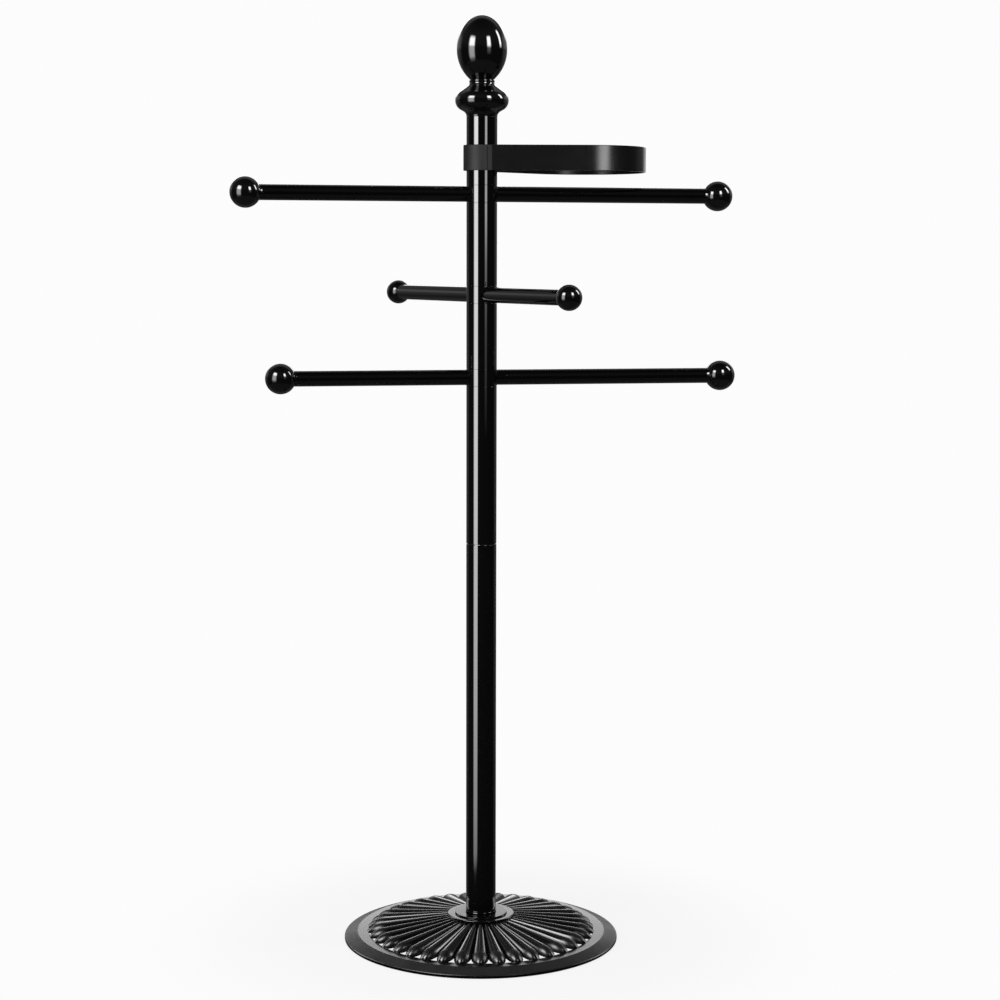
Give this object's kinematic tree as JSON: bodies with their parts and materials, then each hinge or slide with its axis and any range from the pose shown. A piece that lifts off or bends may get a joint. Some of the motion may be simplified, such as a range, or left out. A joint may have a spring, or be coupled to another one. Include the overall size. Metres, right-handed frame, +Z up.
{
  "type": "freestanding towel stand",
  "caption": "Black floor-standing towel stand: ribbed round cast base, post with swivelling double-ended arms with ball ends, a swivelling towel loop and an egg finial.",
  "frame": {"origin": "on the floor, on the post's axis: the centre of the rubber ring's underside", "axes": "+Z up the post; the picture is taken from -Y, so +X is to the viewer's right and +Y is away"},
  "size_m": [0.5206, 0.3367, 0.9674],
  "materials": {
    "gloss_black": "gloss",
    "cast_black": "gloss",
    "band_black": "satin",
    "zinc_steel": "satin",
    "turned_steel": "satin",
    "black_screw": "satin",
    "nylon": "matte",
    "floor_rubber": "matte"
  },
  "bodies": {
    "root": {"base_casting": "cast_black", "floor_ring": "floor_rubber", "seat_disc": "cast_black", "foot_bead": "gloss_black", "foot_plug": "turned_steel", "base_washer": "zinc_steel", "base_nut": "zinc_steel", "lower_tie_rod": "zinc_steel", "tie_rod_coupler": "turned_steel", "upper_tie_rod": "zinc_steel", "joint_spigot": "turned_steel", "tube_end_plugs": "turned_steel", "swivel_washers": "nylon", "finial_ring": "gloss_black", "spring_washer": "zinc_steel", "top_nut": "zinc_steel", "finial_egg": "gloss_black", "lower_post_tube": "gloss_black", "middle_post_tube": "gloss_black", "lower_spacer_tube": "gloss_black", "upper_spacer_tube": "gloss_black", "band_spacer_tube": "gloss_black", "neck_tube": "gloss_black"},
    "top_arms": {"top_collar": "gloss_black", "top_left_arm": "gloss_black", "top_right_arm": "gloss_black", "top_left_ball": "gloss_black", "top_right_ball": "gloss_black", "top_arm_inserts": "turned_steel", "top_root_studs": "zinc_steel", "top_tip_studs": "zinc_steel"},
    "middle_arms": {"middle_collar": "gloss_black", "middle_left_arm": "gloss_black", "middle_right_arm": "gloss_black", "middle_left_ball": "gloss_black", "middle_right_ball": "gloss_black", "middle_arm_inserts": "turned_steel", "middle_root_studs": "zinc_steel", "middle_tip_studs": "zinc_steel"},
    "bottom_arms": {"bottom_collar": "gloss_black", "bottom_left_arm": "gloss_black", "bottom_right_arm": "gloss_black", "bottom_left_ball": "gloss_black", "bottom_right_ball": "gloss_black", "bottom_arm_inserts": "turned_steel", "bottom_root_studs": "zinc_steel", "bottom_tip_studs": "zinc_steel"},
    "towel_loop": {"band_collar": "gloss_black", "towel_band": "band_black", "band_screws": "black_screw"}
  },
  "joints": [
    {"name": "top_arm_swivel", "type": "hinge", "parent": "root", "child": "top_arms", "pos_m": [0, 0, 0.78605], "axis": [0, 0, 1], "continuous": true},
    {"name": "middle_arm_swivel", "type": "hinge", "parent": "root", "child": "middle_arms", "pos_m": [0, 0, 0.68285], "axis": [0, 0, 1], "continuous": true},
    {"name": "bottom_arm_swivel", "type": "hinge", "parent": "root", "child": "bottom_arms", "pos_m": [0, 0, 0.59735], "axis": [0, 0, 1], "continuous": true},
    {"name": "towel_loop_swivel", "type": "hinge", "parent": "root", "child": "towel_loop", "pos_m": [0, 0, 0.8229], "axis": [0, 0, 1], "continuous": true}
  ]
}
